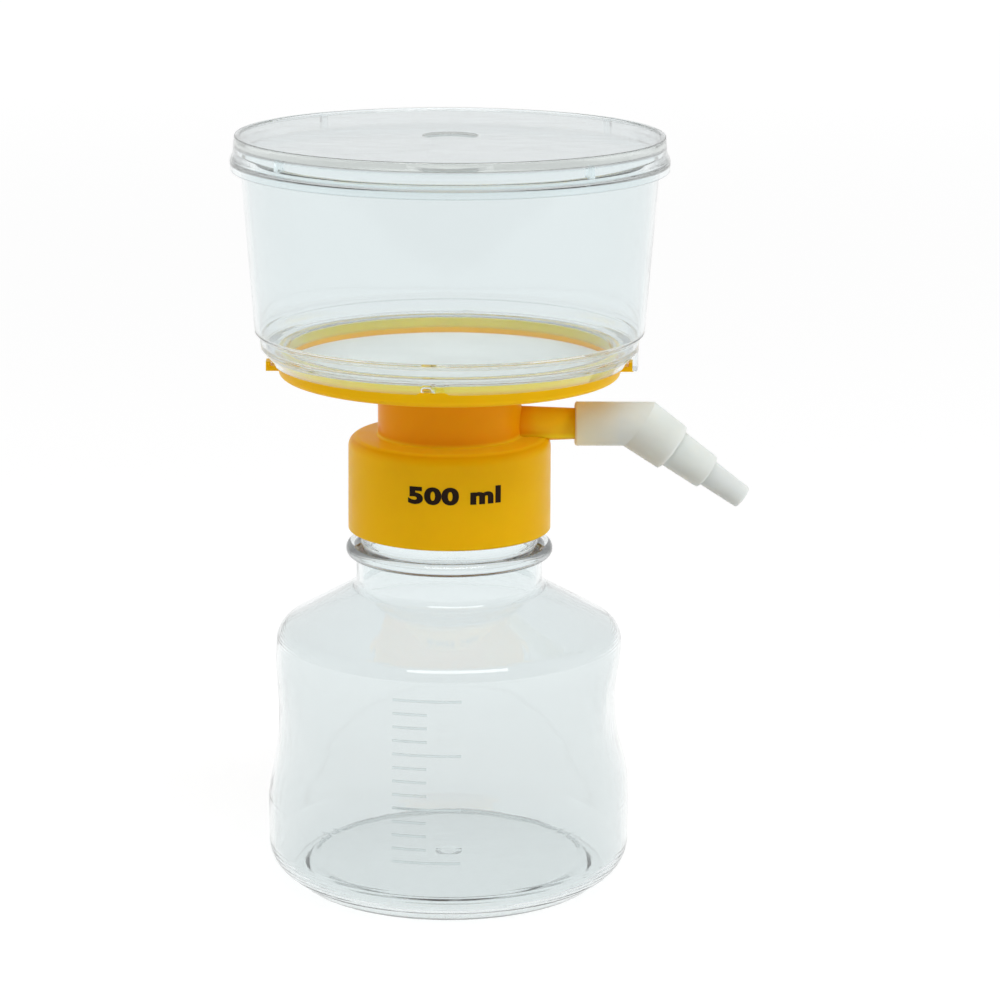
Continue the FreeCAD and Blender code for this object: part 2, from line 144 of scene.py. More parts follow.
def turned(name, points, closed=False, pressed=None):
    """A mesh turned from an outline; pressed(index, angle, radius, height) gives another place."""
    vertices = []
    rings = []
    for index, point in enumerate(points):
        first = len(vertices)
        if point.x < ON_AXIS:
            vertices.append(Vector((0, 0, point.y)))
            rings.append([first] * SEGMENTS)
            continue
        for segment in range(SEGMENTS):
            angle = 2 * math.pi * segment / SEGMENTS
            radius, height = pressed(index, angle, point.x, point.y) if pressed else point
            vertices.append(Vector((radius * math.cos(angle), radius * math.sin(angle), height)))
        rings.append(list(range(first, first + SEGMENTS)))
    pairs = list(zip(rings, rings[1:]))
    if closed:
        pairs.append((rings[-1], rings[0]))
    faces = []
    for low, high in pairs:
        for segment in range(SEGMENTS):
            after = (segment + 1) % SEGMENTS
            corners = [low[segment], low[after], high[after], high[segment]]
            face = list(dict.fromkeys(corners))
            if len(face) > 2:
                faces.append(face)
    return mesh_object(name, vertices, faces)


# ---------------------------------------------------------------- bottle

body_wall = 1.4
heel_width = 6.7              # from the foot out to the side
heel_height = 5.4
heel_rounding = 8.8
foot_width = 3.3
base_step_width = 2.2
base_recess = 2.6
base_dome = 0.9
taper_start = 22.0
taper_rounding = 60.0         # of the bend where the body starts to narrow
upper_body_radius = 46.2
shoulder_height = 68.3
shoulder_rounding = 5.5
neck_foot = 80.4
neck_foot_rounding = 2.5
neck_radius = 24.9
neck_wall = 1.5
neck_length = 8.3
bead_radius = 27.6
bead_height = 3.3
bead_rounding = 1.6
finish_radius = 23.1
mouth_bore_radius = 21.3
mouth_bore_start = 1.0        # above the bead's lower side, where the bore starts to narrow
mouth_rounding = 0.5

bead_bottom = neck_foot + neck_length
bead_top = bead_bottom + bead_height

grip_depths = (2.4, 1.6)
grip_centres = (49.0, 45.0)
grip_angles = (0.0, math.radians(184))
grip_height = 31.0
grip_width = 50.0
grip_zone_middle = 47.0
grip_zone_half = 23.5         # beyond this the wall is round
grip_blend = 1.2              # how softly a grip runs out into the wall
wall_unevenness = 0.22        # of the blown wall's inner side
wave_height = 40.0            # a rise of this much changes it like a turn of one radian
wave_density = 1.6            # features of its noise in each radian

gate_radius = 2.4             # the moulding gate under the base
gate_depth = 0.3
gate_edge_width = 1.2
base_softness = 3.0           # rounding of the step between the foot and the panel


def bottle_outside():
    """Corners of the outer outline, from the gate at the base up to the rim of the mouth."""
    foot_outer = body_radius - heel_width
    foot_inner = foot_outer - foot_width
    panel = foot_inner - base_step_width
    slope = base_dome / panel
    dome = base_recess + base_dome
    return [
        (0, dome - gate_depth, 0),
        (gate_radius, dome - gate_depth, deep_rounding),
        (gate_radius + gate_edge_width, dome - slope * gate_radius, deep_rounding),
        (panel, base_recess, base_softness),
        (foot_inner, 0, base_softness),
        (foot_outer, 0, corner_rounding),
        (body_radius, heel_height, heel_rounding),
        (body_radius, taper_start, taper_rounding),
        (upper_body_radius, shoulder_height, shoulder_rounding),
        (neck_radius, neck_foot, neck_foot_rounding),
        (neck_radius, bead_bottom, corner_rounding),
        (bead_radius, bead_bottom, bead_rounding),
        (bead_radius, bead_top, bead_rounding),
        (finish_radius, bead_top, corner_rounding),
        (finish_radius, mouth_top, mouth_rounding),
        (mouth_bore_radius, mouth_top, mouth_rounding),
    ]


def bottle_inside():
    """Corners of the inner outline, from the mouth down to the base."""
    foot_outer = body_radius - heel_width
    foot_inner = foot_outer - foot_width
    panel = foot_inner - base_step_width
    heel_slope = math.atan2(heel_height, heel_width)
    heel_start = foot_outer - body_wall * math.tan(heel_slope / 2)
    heel_end = heel_height + body_wall * math.tan((math.pi / 2 - heel_slope) / 2)
    slope = math.atan2(neck_foot - shoulder_height, upper_body_radius - neck_radius)
    drop = body_wall / math.cos(slope)
    neck_inside = neck_radius - neck_wall
    bore_start = bead_bottom + mouth_bore_start
    return [
        (mouth_bore_radius, bore_start + neck_inside - mouth_bore_radius, soft_rounding),
        (neck_inside, bore_start, soft_rounding),
        (neck_inside, neck_foot - drop + neck_wall * math.tan(slope), neck_foot_rounding),
        (upper_body_radius - body_wall, shoulder_height - drop + body_wall * math.tan(slope),
         shoulder_rounding - body_wall),
        (body_radius - body_wall, taper_start, taper_rounding - body_wall),
        (body_radius - body_wall, heel_end, heel_rounding - body_wall),
        (heel_start, body_wall, edge_rounding),
        (foot_inner + body_wall / 2, body_wall, base_softness),
        (panel, base_recess + body_wall, base_softness),
        (0, base_recess + base_dome + body_wall, 0),
    ]


def grip_radius(angle, height, inset):
    """Distance from the axis to the floor of the nearest finger grip, or its inner side."""
    half_width = grip_width / 2
    nearest = body_radius * 2
    for depth, middle, grip in zip(grip_depths, grip_centres, grip_angles):
        turn = angle - grip
        if math.cos(turn) <= 0:
            continue
        share = (middle - taper_start) / (shoulder_height - taper_start)
        side = body_radius + share * (upper_body_radius - body_radius)
        floor = side - depth
        fall = floor - math.sqrt(side ** 2 - half_width ** 2)
        across = (half_width ** 2 + fall ** 2) / (2 * fall)
        upright = ((grip_height / 2) ** 2 + depth ** 2) / (2 * depth)
        reach = math.sqrt((upright + inset) ** 2 - (height - middle) ** 2)
        ring = across + upright - reach
        centre = floor - across
        found = centre * math.cos(turn) + math.sqrt(ring ** 2 - (centre * math.sin(turn)) ** 2)
        nearest = min(nearest, found)
    return nearest


def soft_minimum(a, b, blend):
    """The smaller of two lengths, with a rounded change from one to the other."""
    overlap = max(blend - abs(a - b), 0) / blend
    return min(a, b) - overlap ** 2 * blend / 4


def make_bottle():
    """The blown bottle as one closed shell with soft finger grips and a slightly uneven wall."""
    whole = outline(bottle_outside() + bottle_inside())
    zone = (grip_zone_middle - grip_zone_half, grip_zone_middle + grip_zone_half)
    points = refined(whole, divided=zone)
    top = max(range(len(points)), key=lambda i: points[i].y)

    def pressed(index, angle, radius, height):
        if abs(height - grip_zone_middle) > grip_zone_half:
            return radius, height
        inset = 0 if index <= top else body_wall
        found = soft_minimum(radius, grip_radius(angle, height, inset), grip_blend)
        if inset:
            place = Vector((math.cos(angle), math.sin(angle), height / wave_height)) * wave_density
            share = 1 - abs(height - grip_zone_middle) / grip_zone_half
            found += share * wall_unevenness * noise.noise(place)
        return found, height

    return turned("bottle_shell", points, pressed=pressed)


# ---------------------------------------------------------------- screw thread of the bottle

thread_pitch = 4.0
thread_turns = 1.4
thread_depth = 1.3
thread_root_width = 2.0
thread_crest_width = 1.0
thread_start = 6.5            # above the bead
thread_sink = 0.3             # how far the ridge reaches into the wall


def make_thread():
    """The helical ridge on the bottle's mouth, sunk a little into its wall."""
    slope = (thread_root_width - thread_crest_width) / 2 / thread_depth
    foot_half = thread_root_width / 2 + slope * thread_sink
    section = [
        (finish_radius - thread_sink, -foot_half),
        (finish_radius + thread_depth, -thread_crest_width / 2),
        (finish_radius + thread_depth, thread_crest_width / 2),
        (finish_radius - thread_sink, foot_half),
    ]
    steps = round(SEGMENTS * thread_turns)
    start = bead_top + thread_start
    vertices = []
    for step in range(steps + 1):
        angle = 2 * math.pi * thread_turns * step / steps
        rise = start + thread_pitch * thread_turns * step / steps
        for radius, height in section:
            vertices.append(Vector((radius * math.cos(angle), radius * math.sin(angle), rise + height)))
    faces = [[0, 1, 2, 3], [4 * steps + i for i in range(4)]]
    for step in range(steps):
        for side in range(4):
            after = (side + 1) % 4
            low = 4 * step
            faces.append([low + side, low + after, low + 4 + after, low + 4 + side])
    return mesh_object("bottle_thread", vertices, faces, smooth=False)


# ---------------------------------------------------------------- funnel

flange_top = 144.5            # of the filter base, which the funnel is welded on
funnel_wall = 1.2
waist_radius = 50.15          # band below the step
waist_foot_radius = 49.85
funnel_foot_radius = 51.4
step_bottom = 148.4
step_top = 149.5
step_inner_rise = 0.5
skirt_foot_radius = 46.7      # tapered skirt round the flange
skirt_inside = 45.45
skirt_bottom = 141.2
skirt_top = 145.3
ledge_height = 145.7          # ledge that runs in to the lip
ledge_slope = 0.5
lip_radius = 43.9             # lip that hangs inside the flange
lip_wall = 0.9
lip_bottom = 141.8
notch_half = 3.6              # half the width of a notch in the skirt's foot
notch_clearance = 1.0         # from the lip out, so that only the skirt is notched
notch_height = 0.8
notch_angles = (math.radians(-95), math.radians(85))
weld_rib_width = 1.2
weld_rib_height = 2.2
weld_rib_projection = 0.45
tab_angle = math.radians(-4)
tab_half = math.radians(6.5)
tab_drop = 1.2                # below the skirt
tab_wall = 1.2
tab_inset = 0.3               # from the skirt's upper edge down to the tab's


def make_funnel():
    """The clear funnel: tapered wall, step, waist, skirt, ledge and inner lip in one shell."""
    rim = funnel_high.x
    top = funnel_high.z
    slope = (waist_foot_radius - skirt_foot_radius) / (skirt_top - skirt_bottom)
    corners = [
        (skirt_foot_radius, skirt_bottom, edge_rounding),
        (waist_foot_radius, skirt_top, corner_rounding),
        (waist_radius, step_bottom, corner_rounding),
        (funnel_foot_radius, step_top, corner_rounding),
        (rim, top, rim_rounding),
        (rim - funnel_wall, top, rim_rounding),
        (funnel_foot_radius - funnel_wall, step_top + step_inner_rise, corner_rounding),
        (waist_radius - funnel_wall, step_bottom + step_inner_rise, corner_rounding),
        (waist_foot_radius - funnel_wall, ledge_height + ledge_slope / 2, corner_rounding),
        (lip_radius - lip_wall, ledge_height - ledge_slope / 2, edge_rounding),
        (lip_radius - lip_wall, lip_bottom, fine_rounding),
        (lip_radius, lip_bottom, fine_rounding),
        (lip_radius, flange_top, 0),
        (skirt_inside + slope * (flange_top - skirt_bottom), flange_top, edge_rounding),
        (skirt_inside, skirt_bottom, edge_rounding),
    ]
    points = refined(outline(corners, closed=True), closed=True)
    notch_top = skirt_bottom + notch_height

    def pressed(index, angle, radius, height):
        for notch in notch_angles:
            turn = (angle - notch + math.pi) % (2 * math.pi) - math.pi
            in_skirt = height < notch_top and radius > lip_radius + notch_clearance
            if in_skirt and abs(turn) * radius < notch_half:
                return radius + slope * (notch_top - height), notch_top
        return radius, height

    return turned("funnel_shell", points, closed=True, pressed=pressed)


def bent_block(name, section, middle, half, steps):
    """A block with a (radius, height) section, bent about the axis either side of an angle."""
    count = len(section)
    vertices = []
    for step in range(steps + 1):
        angle = middle + half * (2 * step / steps - 1)
        for radius, height in section:
            vertices.append(Vector((radius * math.cos(angle), radius * math.sin(angle), height)))
    faces = [list(range(count)), [count * steps + i for i in range(count)]]
    for step in range(steps):
        for side in range(count):
            after = (side + 1) % count
            low = count * step
            faces.append([low + side, low + after, low + count + after, low + count + side])
    return mesh_object(name, vertices, faces, smooth=False)


def make_funnel_details():
    """The ribs over the notches and the tab that hangs outside one lug."""
    slope = (waist_foot_radius - skirt_foot_radius) / (skirt_top - skirt_bottom)
    low = skirt_bottom + notch_height
    high = low + weld_rib_height
    low_radius = skirt_foot_radius + slope * notch_height
    high_radius = low_radius + slope * weld_rib_height
    section = [
        (low_radius - rib_sink, low),
        (low_radius + weld_rib_projection, low),
        (high_radius + weld_rib_projection, high),
        (high_radius - rib_sink, high),
    ]
    half = weld_rib_width / 2 / low_radius
    pieces = []
    for number, angle in enumerate(notch_angles):
        pieces.append(bent_block("weld_rib_%d" % (number + 1), section, angle, half, steps=2))
    outer = waist_foot_radius
    inner = outer - tab_wall
    meets = skirt_top - tab_inset
    section = [
        (inner, skirt_bottom - tab_drop),
        (outer, skirt_bottom - tab_drop),
        (outer, meets),
        (inner, meets - tab_wall / slope),
    ]
    pieces.append(bent_block("key_tab", section, tab_angle, tab_half, steps=16))
    return pieces


# ---------------------------------------------------------------- lid

lid_wall = 0.9
lid_inner_radius = 55.4       # side above the shelf, inside and outside
lid_upper_radius = 56.1
lid_draft = 0.4
lid_plate = 1.9
lid_rim_height = 0.5
lid_rim_width = 1.3
lid_rim_slope = 0.2           # of the rim's inner side, from its top to the plate
lid_shelf_drop = 6.4          # from the top to the outer edge of the shelf
lid_shelf_slope = 2.3
lid_recess_radius = 7.2
lid_recess_depth = 0.6
spacer_height = 3.5
spacer_reach = 1.6
spacer_width = 1.6
spacer_angles = [math.radians(-51 + 90 * turn) for turn in range(4)]


def make_lid():
    """The clear lid: a plate with a raised rim and a round recess, and a stepped side."""
    top = lid_high.z
    bottom = lid_low.z
    band = lid_high.x
    plate_top = top - lid_rim_height
    underside = plate_top - lid_plate
    shelf = top - lid_shelf_drop
    rim_inside = lid_upper_radius - lid_rim_width
    corners = [
        (0, underside, 0),
        (lid_inner_radius, underside, deep_rounding),
        (lid_inner_radius + lid_draft / 2, shelf, edge_rounding),
        (band - lid_wall, shelf - lid_wall, rim_rounding),
        (band - lid_wall, bottom, edge_rounding),
        (band, bottom, lid_rounding),
        (band, shelf, corner_rounding),
        (lid_upper_radius + lid_draft, shelf + lid_shelf_slope, soft_rounding),
        (lid_upper_radius, top, rim_rounding),
        (rim_inside, top, lid_rounding),
        (rim_inside - lid_rim_slope, plate_top, fine_rounding),
        (lid_recess_radius, plate_top, recess_rounding),
        (lid_recess_radius, plate_top - lid_recess_depth, recess_rounding),
        (0, plate_top - lid_recess_depth, 0),
    ]
    return turned("lid_shell", refined(outline(corners)))


def make_spacers():
    """The short ribs under the lid's plate that rest on the funnel's rim."""
    underside = lid_high.z - lid_rim_height - lid_plate
    foot = underside - spacer_height
    inner = lid_inner_radius - spacer_reach
    outer = lid_inner_radius + rib_sink
    head = underside + rib_sink
    section = [(inner, foot), (outer, foot), (outer, head), (inner, head)]
    half = spacer_width / 2 / lid_inner_radius
    pieces = []
    for number, angle in enumerate(spacer_angles):
        pieces.append(bent_block("lid_spacer_%d" % (number + 1), section, angle, half, steps=2))
    return pieces


# ---------------------------------------------------------------- markings

DIGIT_HEIGHT = 0.729          # of the built-in font, for size 1
TEXT_WEIGHT = 0.05            # how much the strokes are thickened
TEXT_SPACING = 1.08
TEXT_DEPTH = 0.01             # before it is bent
STRIPS = 12                   # upright strips for each unit of text width
MERGED = 1e-5                 # points of the text that are closer than this become one


def flat_text(text):
    """A text as a flat mesh with a little depth, in the font's own unit."""
    curve = bpy.data.curves.new("text", "FONT")
    curve.body = text
    curve.extrude = TEXT_DEPTH
    curve.offset = TEXT_WEIGHT
    curve.space_character = TEXT_SPACING
    curve.resolution_u = 6
    source = bpy.data.objects.new("text", curve)
    bpy.context.scene.collection.objects.link(source)
    bpy.context.view_layer.update()
    found = source.evaluated_get(bpy.context.evaluated_depsgraph_get())
    mesh = bpy.data.meshes.new_from_object(found)
    bpy.data.objects.remove(source)
    bpy.data.curves.remove(curve)
    return mesh


def bent_text(name, text, height, width, place, radius_at, thick):
    """A text bent round a wall, once it is cut into narrow upright strips.

    Place is its left end's angle and its foot's height, and radius_at gives the wall's radius.
    """
    mesh = flat_text(text)
    work = bmesh.new()
    work.from_mesh(mesh)
    bpy.data.meshes.remove(mesh)
    bmesh.ops.remove_doubles(work, verts=work.verts, dist=MERGED)
    bmesh.ops.triangulate(work, faces=work.faces)
    left = min(vertex.co.x for vertex in work.verts)
    right = max(vertex.co.x for vertex in work.verts)
    for strip in range(1, int((right - left) * STRIPS)):
        everything = work.verts[:] + work.edges[:] + work.faces[:]
        cut = Vector((left + strip / STRIPS, 0, 0))
        bmesh.ops.bisect_plane(work, geom=everything, plane_co=cut, plane_no=Vector((1, 0, 0)))
    start, foot = place
    for vertex in work.verts:
        rise = foot + (vertex.co.y + TEXT_WEIGHT) / (DIGIT_HEIGHT + 2 * TEXT_WEIGHT) * height
        radius = radius_at(rise)
        angle = start + (vertex.co.x - left) / (right - left) * width / radius
        out = radius + (thick if vertex.co.z > 0 else -thick)
        vertex.co = Vector((out * math.cos(angle), out * math.sin(angle), rise)) * MM
    made_mesh = bpy.data.meshes.new(name)
    bmesh.ops.recalc_face_normals(work, faces=work.faces)
    work.to_mesh(made_mesh)
    work.free()
    made = bpy.data.objects.new(name, made_mesh)
    bpy.context.scene.collection.objects.link(made)
    return made


collar_radius = 27.0          # of the filter base, like the three below
collar_top = 120.8
collar_draft = 0.1
dish_bottom = 137.7
marking_height = 4.9
marking_width = 25.0
marking_middle = -87.0        # degrees round the collar
marking_foot = 108.15
marking_thick = 0.02


def collar_surface(height):
    """The collar's outer radius at a height."""
    return collar_radius - collar_draft * (height - collar_bottom) / (collar_top - collar_bottom)


def make_marking():
    """A plain capacity mark, printed on the front of the collar."""
    start = math.radians(marking_middle) - marking_width / 2 / collar_radius
    return bent_text("capacity_print", "500 ml", marking_height, marking_width,
                     (start, marking_foot), collar_surface, marking_thick)


# ---------------------------------------------------------------- graduations of the bottle

graduation_middle = math.radians(-97)
graduation_count = 13
graduation_start = 18.0       # height of the lowest tick
graduation_step = 3.58
long_tick = 18.0
short_tick = 9.0
tick_width = 0.6
graduation_rise = 0.05        # out of the wall
graduation_sink = 0.3


def wall_radius(height):
    """The bottle's outer radius between its heel and its shoulder, away from the grips."""
    share = max(0.0, (height - taper_start) / (shoulder_height - taper_start))
    return body_radius + share * (upper_body_radius - body_radius)


def make_graduations():
    """Low raised ticks up the front of the bottle, every fourth one longer."""
    pieces = []
    for count in range(graduation_count):
        height = graduation_start + count * graduation_step
        radius = wall_radius(height)
        length = short_tick if count % 4 else long_tick
        section = [
            (radius - graduation_sink, height - tick_width / 2),
            (radius + graduation_rise, height - tick_width / 2),
            (radius + graduation_rise, height + tick_width / 2),
            (radius - graduation_sink, height + tick_width / 2),
        ]
        half = length / 2 / radius
        middle = graduation_middle - long_tick / 2 / radius + half
        pieces.append(bent_block("tick_%d" % (count + 1), section, middle, half, steps=12))
    return pieces


# ---------------------------------------------------------------- materials

def new_material(name):
    """An empty node material."""
    made = bpy.data.materials.new(name)
    made.use_nodes = True
    made.node_tree.nodes.clear()
    return made


def add(tree, kind, settings=None, **values):
    """A node with its settings and the values of its sockets; a word's underscore is a space."""
    made = tree.nodes.new(kind)
    for key, value in (settings or {}).items():
        setattr(made, key, value)
    for key, value in values.items():
        made.inputs[key.replace("_", " ")].default_value = value
    return made


def object_place(tree):
    """The place on the object, in metres."""
    return add(tree, "ShaderNodeTexCoord").outputs["Object"]


def place_along(tree, axis):
    """The place on the object along one axis, in metres."""
    parts = add(tree, "ShaderNodeSeparateXYZ")
    tree.links.new(object_place(tree), parts.inputs["Vector"])
    return parts.outputs[axis]


def noise_at(tree, scale, detail=2.0, stretch=(1, 1, 1)):
    """A noise from 0 to 1, in features per metre, stretched along an axis."""
    mapping = add(tree, "ShaderNodeMapping", Scale=stretch)
    tree.links.new(object_place(tree), mapping.inputs["Vector"])
    made = add(tree, "ShaderNodeTexNoise", Scale=scale, Detail=detail)
    tree.links.new(mapping.outputs["Vector"], made.inputs["Vector"])
    return made.outputs["Fac"]


def spread(tree, value, low, high, from_low=0.3, from_high=0.7):
    """A value spread out from one range to another."""
    made = add(tree, "ShaderNodeMapRange")
    tree.links.new(value, made.inputs["Value"])
    made.inputs["From Min"].default_value = from_low
    made.inputs["From Max"].default_value = from_high
    made.inputs["To Min"].default_value = low
    made.inputs["To Max"].default_value = high
    return made.outputs["Result"]


def combined(tree, operation, first, second):
    """Two values brought together by a sum, product, maximum and so on."""
    made = add(tree, "ShaderNodeMath", {"operation": operation})
    tree.links.new(first, made.inputs[0])
    tree.links.new(second, made.inputs[1])
    return made.outputs["Value"]


def mixed(tree, first, second, share):
    """A colour between two, by a share from 0 to 1; the first can be another node's output."""
    made = add(tree, "ShaderNodeMix", {"data_type": "RGBA"})
    if isinstance(first, tuple):
        made.inputs["A"].default_value = first
    else:
        tree.links.new(first, made.inputs["A"])
    made.inputs["B"].default_value = second
    tree.links.new(share, made.inputs["Factor"])
    return made.outputs["Result"]


def bumped(tree, shader, height, distance, after=None):
    """Bump on a shader's normal; distance is the bump's height in metres."""
    made = add(tree, "ShaderNodeBump", Strength=1.0, Distance=distance)
    tree.links.new(height, made.inputs["Height"])
    if after:
        tree.links.new(after.outputs["Normal"], made.inputs["Normal"])
    tree.links.new(made.outputs["Normal"], shader.inputs["Normal"])
    return made


shadow_tint = (0.93, 0.95, 0.95, 1)    # what is left in the shadow of one surface
duller_below = 60.0           # the bottle's lower part is duller up to here
clearer_above = 72.0          # and its shoulder is clear from here
recess_blur = 0.1             # where the painted shade on the recess's wall ends


def clear_plastic(name, colour, waviness, streaks, absorbed, density):
    """Clear polystyrene: refracting, a little tinted in its depth, with a faintly wavy surface.

    The waviness is in metres, the streaks stretch its finer part, and absorbed is the colour that is
    left of light deep inside. Gives the material, its node tree and its shader.
    """
    made = new_material(name)
    tree = made.node_tree
    shader = add(tree, "ShaderNodeBsdfPrincipled", Base_Color=colour, IOR=1.57,
                 Transmission_Weight=1.0)
    rough = spread(tree, noise_at(tree, 90, 3), 0.012, 0.045)
    tree.links.new(rough, shader.inputs["Roughness"])
    broad = bumped(tree, shader, noise_at(tree, 45, 2), waviness)
    bumped(tree, shader, noise_at(tree, 160, 3, streaks), waviness / 5, broad)
    shadow = add(tree, "ShaderNodeBsdfTransparent", Color=shadow_tint)
    path = add(tree, "ShaderNodeLightPath")
    mix = add(tree, "ShaderNodeMixShader")
    tree.links.new(path.outputs["Is Shadow Ray"], mix.inputs["Fac"])
    tree.links.new(shader.outputs["BSDF"], mix.inputs[1])
    tree.links.new(shadow.outputs["BSDF"], mix.inputs[2])
    depth = add(tree, "ShaderNodeVolumeAbsorption", Color=absorbed, Density=density)
    output = add(tree, "ShaderNodeOutputMaterial")
    tree.links.new(mix.outputs["Shader"], output.inputs["Surface"])
    tree.links.new(depth.outputs["Volume"], output.inputs["Volume"])
    return made, tree, shader


def clear_bottle():
    """The blown bottle's plastic, with a duller colour below a height."""
    upper = (0.89, 0.93, 0.935, 1)
    lower = (0.85, 0.885, 0.888, 1)
    made, tree, shader = clear_plastic("clear_bottle_plastic", upper, waviness=0.00013,
                                       streaks=(1, 1, 0.25), absorbed=(0.85, 0.86, 0.845, 1), density=8)
    duller = spread(tree, place_along(tree, "Z"), 1, 0, duller_below * MM, clearer_above * MM)
    tree.links.new(mixed(tree, upper, lower, duller), shader.inputs["Base Color"])
    return made


def clear_funnel():
    return clear_plastic("clear_funnel_plastic", (0.87, 0.912, 0.918, 1), waviness=0.00003,
                         streaks=(1, 1, 0.2), absorbed=(0.85, 0.86, 0.84, 1), density=10)[0]


def clear_lid():
    """The lid's plastic, with painted shade in grey on the wall of the recess in its middle."""
    plain = (0.90, 0.945, 0.955, 1)
    painted_recess_shade = (0.40, 0.42, 0.41, 1)
    made, tree, shader = clear_plastic("clear_lid_plastic", plain, waviness=0.00003,
                                       streaks=(1, 1, 0.2), absorbed=(0.85, 0.86, 0.83, 1), density=10)
    flat = add(tree, "ShaderNodeVectorMath", {"operation": "MULTIPLY"})
    flat.inputs[1].default_value = (1, 1, 0)
    tree.links.new(object_place(tree), flat.inputs[0])
    away = add(tree, "ShaderNodeVectorMath", {"operation": "LENGTH"})
    tree.links.new(flat.outputs["Vector"], away.inputs[0])
    wall = lid_recess_radius * MM
    blur = recess_blur * MM
    beyond = spread(tree, away.outputs["Value"], 0, 1, wall - 2 * blur, wall - blur)
    before = spread(tree, away.outputs["Value"], 1, 0, wall + blur, wall + 2 * blur)
    recess_shade_share = combined(tree, "MULTIPLY", beyond, before)
    # Painted shade: the recess's wall is coloured grey.
    tree.links.new(mixed(tree, plain, painted_recess_shade, recess_shade_share), shader.inputs["Base Color"])
    return made


def plastic(name, colour, other, roughness, subsurface, radius, grain):
    """Moulded plastic with a slightly uneven colour, gloss and surface.

    Subsurface is the share of light that goes in and radius how far it spreads, in metres for red,
    green and blue; grain is the surface's height in metres.
    """
    made = new_material(name)
    tree = made.node_tree
    shader = add(tree, "ShaderNodeBsdfPrincipled", IOR=1.5, Subsurface_Weight=subsurface,
                 Subsurface_Radius=radius, Subsurface_Scale=1.0, Specular_IOR_Level=0.07)
    clouds = spread(tree, noise_at(tree, 60, 3), 0, 1)
    tree.links.new(mixed(tree, colour, other, clouds), shader.inputs["Base Color"])
    rough = spread(tree, noise_at(tree, 220, 3), roughness - 0.04, roughness + 0.06)
    tree.links.new(rough, shader.inputs["Roughness"])
    bumped(tree, shader, noise_at(tree, 900, 2), grain)
    output = add(tree, "ShaderNodeOutputMaterial")
    tree.links.new(shader.outputs["BSDF"], output.inputs["Surface"])
    return made, tree, shader


def tinted(tree, shader, share, tint):
    """Mixes a tint into a plastic's colour by a share from 0 to 1."""
    old = shader.inputs["Base Color"].links[0].from_socket
    tree.links.new(mixed(tree, old, tint, share), shader.inputs["Base Color"])


flange_start = 141.5          # painted light on the thin flange starts here
flange_full = 142.5
port_start = 18.5             # the drum's painted shade fades along the port from here
port_full = 23.0
port_share = 0.45             # of the drum's painted shade on the port
mouth_fade = 12.0             # from the adapter's open end to where its painted light from the port ends
# Painted light: the thin flange is coloured lighter, as if light shone through it.
painted_flange_light = (1.0, 0.72, 0.03, 1)
# Painted light: the collar's roof is coloured lighter against the dish's shade over it.
painted_roof_light = (1.0, 0.70, 0.02, 1)
# Painted shade: the hollow drum is coloured deeper orange for its shade and the yellow light that
# bounces inside it.
painted_drum_shade = (0.89, 0.36, 0.001, 1)


def yellow_plastic():
    """Translucent yellow, with painted shade and bounced light as deeper orange on the hollow drum, and
    painted light on the roof and the thin flange.
    """
    made, tree, shader = plastic("yellow_polyethylene", (0.87, 0.47, 0.001, 1), (0.83, 0.44, 0.001, 1),
                                 roughness=0.32, subsurface=0.3, radius=(0.006, 0.0025, 0.0002),
                                 grain=0.000004)
    roof = collar_top * MM
    dish = dish_bottom * MM
    height = place_along(tree, "Z")
    flange_light_share = spread(tree, height, 0, 1, flange_start * MM, flange_full * MM)
    over_edge = spread(tree, height, 0, 1, roof - 0.0004, roof + 0.0001)
    over_roof = spread(tree, height, 0, 1, roof + 0.0005, roof + 0.0016)
    under_dish = spread(tree, height, 1, 0, dish - 0.001, dish + 0.0015)
    drum_shade_share = spread(tree, place_along(tree, "X"), 1, port_share, port_start * MM, port_full * MM)
    roof_light_share = combined(tree, "MULTIPLY", over_edge, under_dish)
    on_side = combined(tree, "MULTIPLY", over_roof, under_dish)
    # painted light on the flange
    tinted(tree, shader, flange_light_share, painted_flange_light)
    # painted light on the collar's roof
    tinted(tree, shader, roof_light_share, painted_roof_light)
    # painted shade and bounced light on the drum, fading along the port
    tinted(tree, shader, combined(tree, "MULTIPLY", on_side, drum_shade_share), painted_drum_shade)
    return made


def white_plastic():
    """Natural polypropylene, with painted warm light near its open end for the yellow port that shows
    through.
    """
    made, tree, shader = plastic("natural_polypropylene", (0.72, 0.755, 0.72, 1), (0.68, 0.715, 0.68, 1),
                                 roughness=0.34, subsurface=0.8, radius=(0.006, 0.0055, 0.005),
                                 grain=0.000012)
    mouth = adapter_low.x * MM
    port_light_share = spread(tree, place_along(tree, "X"), 0.9, 0, mouth, mouth + mouth_fade * MM)
    # Painted light: a warm yellow near the open end stands for the port's light through the wall.
    tinted(tree, shader, port_light_share, (1.0, 0.90, 0.56, 1))
    return made


def membrane_sheet():
    return plastic("filter_membrane", (0.86, 0.86, 0.83, 1), (0.80, 0.80, 0.77, 1), roughness=0.75,
                   subsurface=0.2, radius=(0.002, 0.002, 0.002), grain=0.00003)[0]


def soft_silicone():
    return plastic("soft_silicone", (0.78, 0.77, 0.73, 1), (0.72, 0.71, 0.68, 1), roughness=0.5,
                   subsurface=0.5, radius=(0.003, 0.003, 0.0025), grain=0.00001)[0]


def print_ink():
    return plastic("print_ink", (0.012, 0.006, 0.003, 1), (0.02, 0.010, 0.006, 1), roughness=0.45,
                   subsurface=0.0, radius=(0.001, 0.001, 0.001), grain=0.000004)[0]


def dress(piece, material):
    """Gives a piece, or a CAD node's object, one material."""
    if not piece.material_slots:
        piece.data.materials.append(material)
    for held in piece.material_slots:
        held.material = material


# ---------------------------------------------------------------- stage, light and camera

